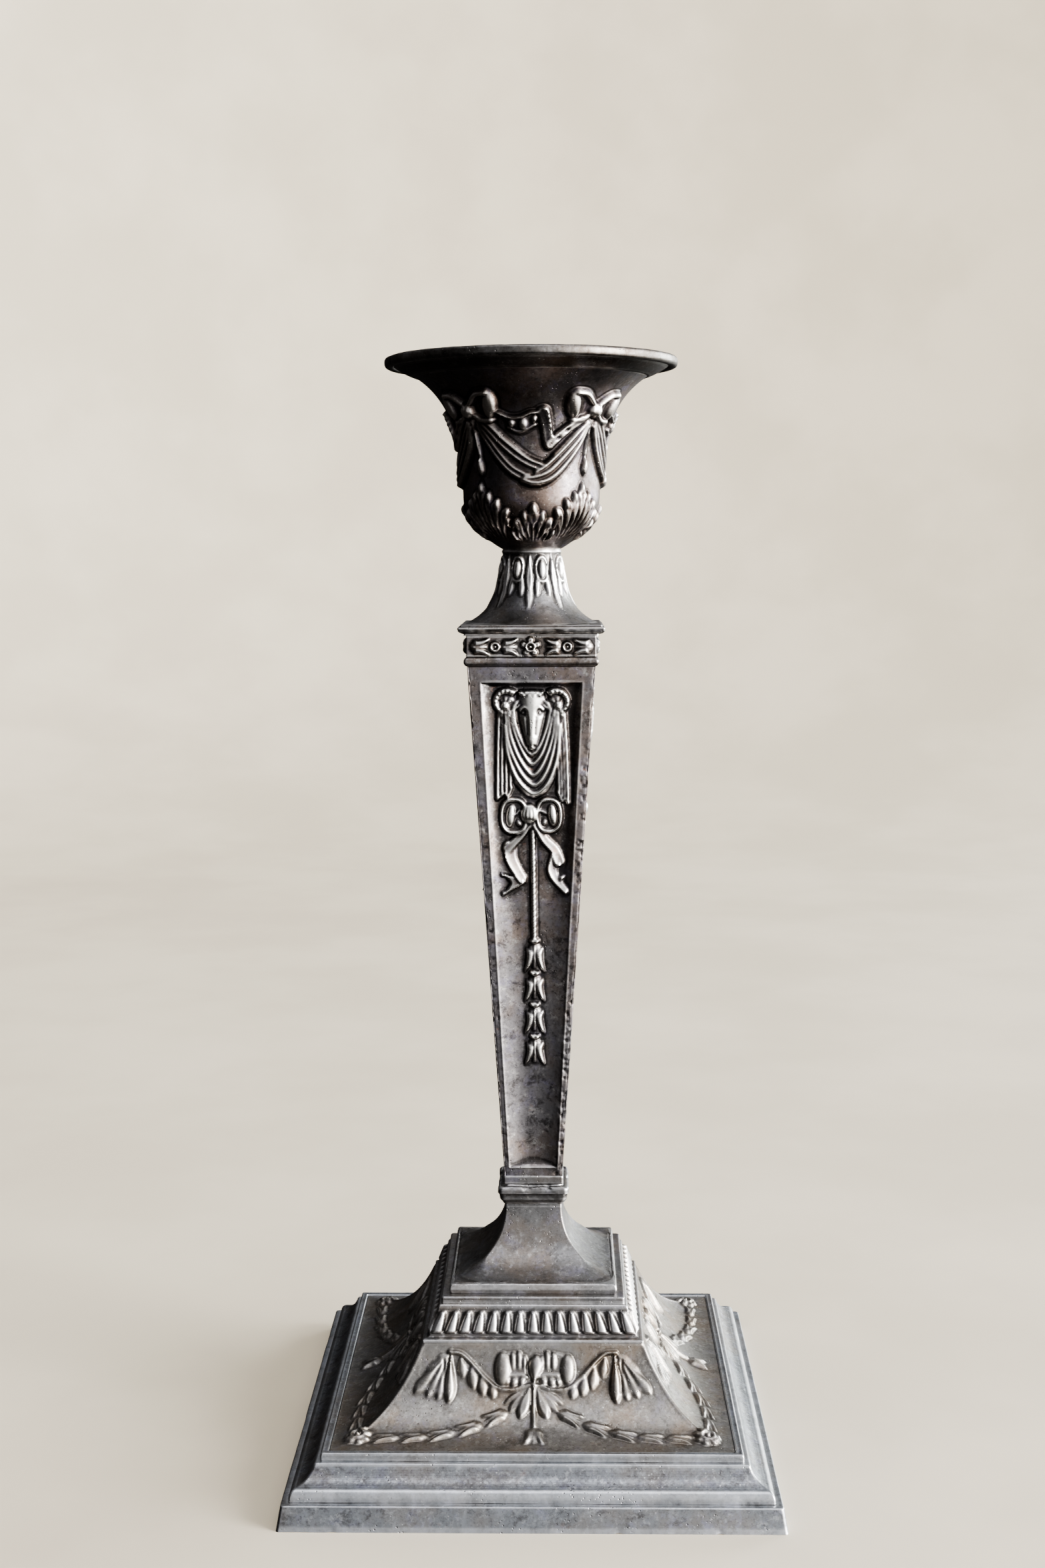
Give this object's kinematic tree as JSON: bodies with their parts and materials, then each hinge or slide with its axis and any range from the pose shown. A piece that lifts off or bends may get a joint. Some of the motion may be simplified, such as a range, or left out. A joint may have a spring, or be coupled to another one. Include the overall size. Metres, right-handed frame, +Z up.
{
  "type": "candlestick",
  "caption": "Square-based weighted candlestick in tarnished silver plate: stepped foot, tapering square column with relief, urn-shaped holder and lift-out nozzle.",
  "frame": {"origin": "centre of the square foot, on the table", "axes": "+Z up along the column; the front face looks along -Y and +X is to its right"},
  "size_m": [0.127, 0.127, 0.2908],
  "materials": {
    "silver_foot": "satin",
    "silver_column": "satin",
    "silver_urn": "satin",
    "silver_nozzle": "satin",
    "iron": "matte",
    "loading": "matte",
    "board": "matte",
    "baize": "matte"
  },
  "bodies": {
    "stand": {"foot_rim": "silver_foot", "foot_moulding": "silver_foot", "foot_border": "silver_foot", "base_skirt": "silver_foot", "fluted_band": "silver_foot", "step_moulding": "silver_foot", "base_neck": "silver_foot", "column_collar": "silver_column", "column_fillet": "silver_column", "column_panel_front": "silver_column", "column_panel_right": "silver_column", "column_panel_back": "silver_column", "column_panel_left": "silver_column", "capital_astragal": "silver_column", "capital_frieze": "silver_column", "capital_abacus": "silver_column", "trumpet_neck": "silver_column", "urn_shell": "silver_urn", "socket_liner": "silver_urn", "socket_floor": "silver_urn", "tie_rod": "iron", "tie_nut_top": "iron", "tie_nut_bottom": "iron", "column_diaphragm": "silver_column", "column_core": "loading", "base_loading": "loading", "base_board": "board", "baize_pad": "baize"},
    "nozzle": {"nozzle_tube": "silver_nozzle", "nozzle_pan": "silver_nozzle", "nozzle_rim_wire": "silver_nozzle"}
  },
  "joints": [
    {"name": "nozzle_lift", "type": "slide", "parent": "stand", "child": "nozzle", "axis": [0, 0, 1], "range_m": [0, 0.035]}
  ]
}
